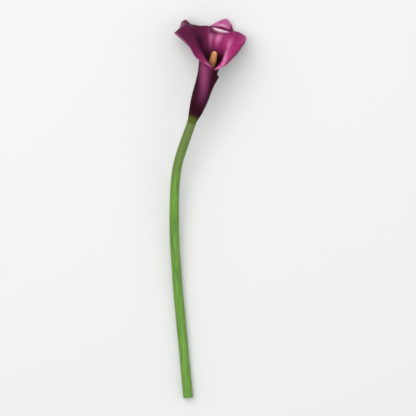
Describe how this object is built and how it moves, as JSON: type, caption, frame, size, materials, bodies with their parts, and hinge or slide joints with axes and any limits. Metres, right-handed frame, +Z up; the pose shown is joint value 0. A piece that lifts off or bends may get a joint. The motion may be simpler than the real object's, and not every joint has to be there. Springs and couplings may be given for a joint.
{
  "type": "calla lily flower",
  "caption": "Cut calla lily flower lying on its back, with a rolled flaring spathe round a finger-shaped spadix on a long fleshy stem.",
  "frame": {"origin": "centre of the flower's outline on the table it lies on, at the table's height", "axes": "+Y along the stem towards the mouth of the spathe, +Z up from the table, +X to the right seen from above with the mouth away from the viewer"},
  "size_m": [0.0636, 0.3152, 0.0395],
  "materials": {
    "stem_skin": "smooth fleshy plant stem, satin green with a brown-red flush",
    "spathe_skin": "soft satin plum-pink flower tissue with a velvety sheen",
    "spadix_skin": "matt orange-yellow packed florets"
  },
  "bodies": {
    "root": {"stem": "stem_skin", "spathe": "spathe_skin", "spadix": "spadix_skin"}
  },
  "joints": []
}
